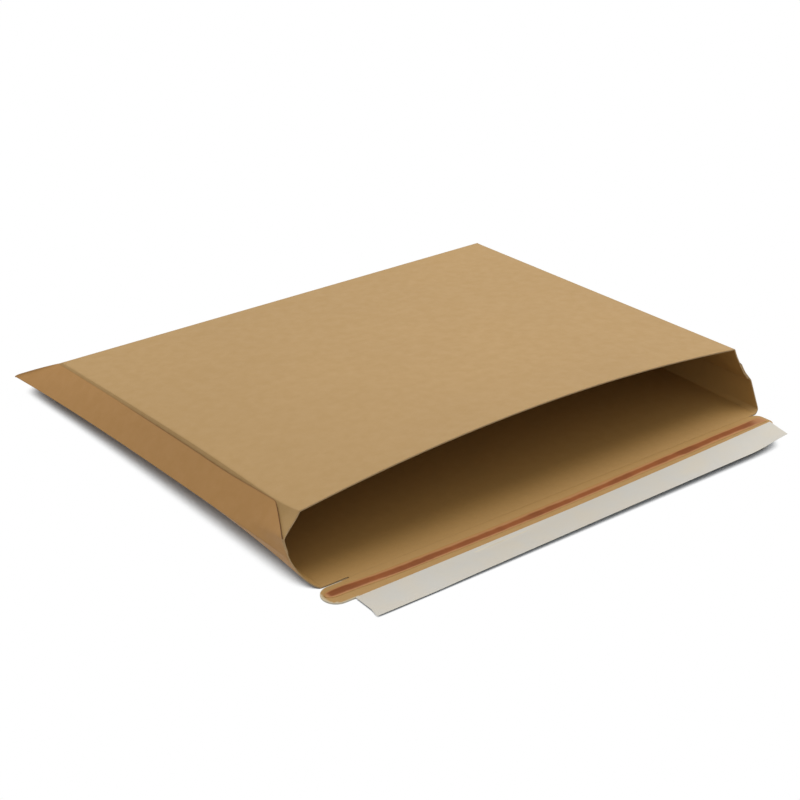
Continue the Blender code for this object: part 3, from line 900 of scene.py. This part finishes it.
def make_floor(stage):
    mesh = bpy.data.meshes.new("studio_floor")
    reach = 6.0
    corners = [(-reach, -reach, 0.0), (reach, -reach, 0.0), (reach, reach, 0.0), (-reach, reach, 0.0)]
    mesh.from_pydata(corners, [], [(0, 1, 2, 3)])
    material, tree, shader = new_material("studio_floor", 0.9, 0.0)
    # Painted shadow: camera rays see white emission where the ambient-occlusion node finds open sky, and the darker
    # shaded floor colour, lit by the lamp and sky, where it finds little.
    seen = seen_directly(tree)
    colours = (tuple(stage.floor_colour), tuple(stage.shaded_floor))
    tree.links.new(blend_colour(tree, seen, *colours), shader.inputs["Base Color"])
    sky = add_node(tree, "ShaderNodeAmbientOcclusion", {"samples": 24}, {"Distance": 0.08}).outputs["AO"]
    clear = add_node(tree, "ShaderNodeMath", {"operation": "MULTIPLY"})
    tree.links.new(remap(tree, sky, stage.shade_from, stage.shade_to, 0.0, 1.0), clear.inputs[0])
    tree.links.new(seen, clear.inputs[1])
    white = add_node(tree, "ShaderNodeEmission", inputs={"Strength": 1.0})
    both = add_node(tree, "ShaderNodeMixShader")
    tree.links.new(clear.outputs["Value"], both.inputs["Fac"])
    tree.links.new(shader.outputs["BSDF"], both.inputs[1])
    tree.links.new(white.outputs["Emission"], both.inputs[2])
    tree.links.new(both.outputs["Shader"], tree.nodes["Material Output"].inputs["Surface"])
    mesh.materials.append(material)
    floor = bpy.data.objects.new("studio_floor", mesh)
    floor.location = (0.0, 0.0, -0.0002)
    bpy.context.scene.collection.objects.link(floor)
    return floor


def make_sky(stage):
    world = bpy.data.worlds.new("studio_sky")
    world.use_nodes = True
    tree = world.node_tree
    background = tree.nodes["Background"]
    background.inputs["Color"].default_value = (1.0, 1.0, 1.0, 1.0)
    strength = add_node(tree, "ShaderNodeMapRange", inputs={"To Min": stage.sky, "To Max": 1.0})
    tree.links.new(seen_directly(tree), strength.inputs["Value"])
    tree.links.new(strength.outputs["Result"], background.inputs["Strength"])
    bpy.context.scene.world = world


def make_lamp(name, place, aim, size, power):
    data = bpy.data.lights.new(name, "AREA")
    data.shape = "SQUARE"
    data.size = size
    data.energy = power
    lamp = bpy.data.objects.new(name, data)
    lamp.location = place
    lamp.rotation_euler = (Vector(place) - Vector(aim)).to_track_quat("Z", "Y").to_euler()
    bpy.context.scene.collection.objects.link(lamp)
    return lamp


def make_camera(stage):
    turn, rise = stage.azimuth, stage.elevation
    back = Vector((sin(turn) * cos(rise), -cos(turn) * cos(rise), sin(rise)))
    right = Vector((0.0, 0.0, 1.0)).cross(back).normalized()
    up = back.cross(right)
    rolled_right = right * cos(stage.roll) + up * sin(stage.roll)
    rolled_up = up * cos(stage.roll) - right * sin(stage.roll)
    data = bpy.data.cameras.new("photo_camera")
    data.sensor_width = 36.0
    data.lens = stage.lens
    data.clip_start = 0.01
    data.clip_end = 50.0
    camera = bpy.data.objects.new("photo_camera", data)
    turned = Matrix((rolled_right, rolled_up, back)).transposed()
    camera.matrix_world = Matrix.Translation(Vector(stage.camera_place)) @ turned.to_4x4()
    bpy.context.scene.collection.objects.link(camera)
    bpy.context.scene.camera = camera
    return camera


class MAILER_OT_stage(Operator):
    """Set the floor, the sky, the lamp and the camera"""

    bl_idname = "mailer.stage"
    bl_label = "Stage"

    def execute(self, context):
        stage = context.scene.mailer_stage
        make_floor(stage)
        make_sky(stage)
        make_lamp("overhead_lamp", (0.55, 0.30, 1.45), (0.0, 0.0, 0.0), 1.1, stage.key_power)
        make_camera(stage)
        context.scene.view_settings.view_transform = "Standard"
        return {"FINISHED"}


class MAILER_PT_panel(Panel):
    """Lists the mailer's sizes, colours and pieces"""

    bl_idname = "MAILER_PT_panel"
    bl_label = "Book Wrap Mailer"
    bl_space_type = "VIEW_3D"
    bl_region_type = "UI"
    bl_category = "Mailer"

    def draw(self, context):
        layout = self.layout
        for operator in OPERATORS:
            layout.operator(operator.bl_idname)
        for name in SETTINGS:
            group = getattr(context.scene, name)
            box = layout.box()
            for key in group.bl_rna.properties.keys():
                if key not in ("rna_type", "name"):
                    box.prop(group, key)


SETTINGS = {
    "mailer_board": MailerBoard,
    "mailer_pocket": MailerPocket,
    "mailer_flap": MailerFlap,
    "mailer_stage": MailerStage,
}
OPERATORS = (MAILER_OT_pocket, MAILER_OT_closure_flap, MAILER_OT_flap_crease, MAILER_OT_tear_tape,
             MAILER_OT_adhesive, MAILER_OT_liner, MAILER_OT_stage)


def register():
    for name, group in SETTINGS.items():
        bpy.utils.register_class(group)
        setattr(bpy.types.Scene, name, PointerProperty(type=group))
    for operator in OPERATORS:
        bpy.utils.register_class(operator)
    bpy.utils.register_class(MAILER_PT_panel)


def unregister():
    bpy.utils.unregister_class(MAILER_PT_panel)
    for operator in reversed(OPERATORS):
        bpy.utils.unregister_class(operator)
    for name, group in SETTINGS.items():
        delattr(bpy.types.Scene, name)
        bpy.utils.unregister_class(group)


def main():
    register()
    bpy.ops.mailer.pocket()
    bpy.ops.mailer.closure_flap()
    bpy.ops.mailer.flap_crease()
    bpy.ops.mailer.tear_tape()
    bpy.ops.mailer.adhesive()
    bpy.ops.mailer.liner()
    bpy.ops.mailer.stage()


if __name__ == "__main__":
    main()
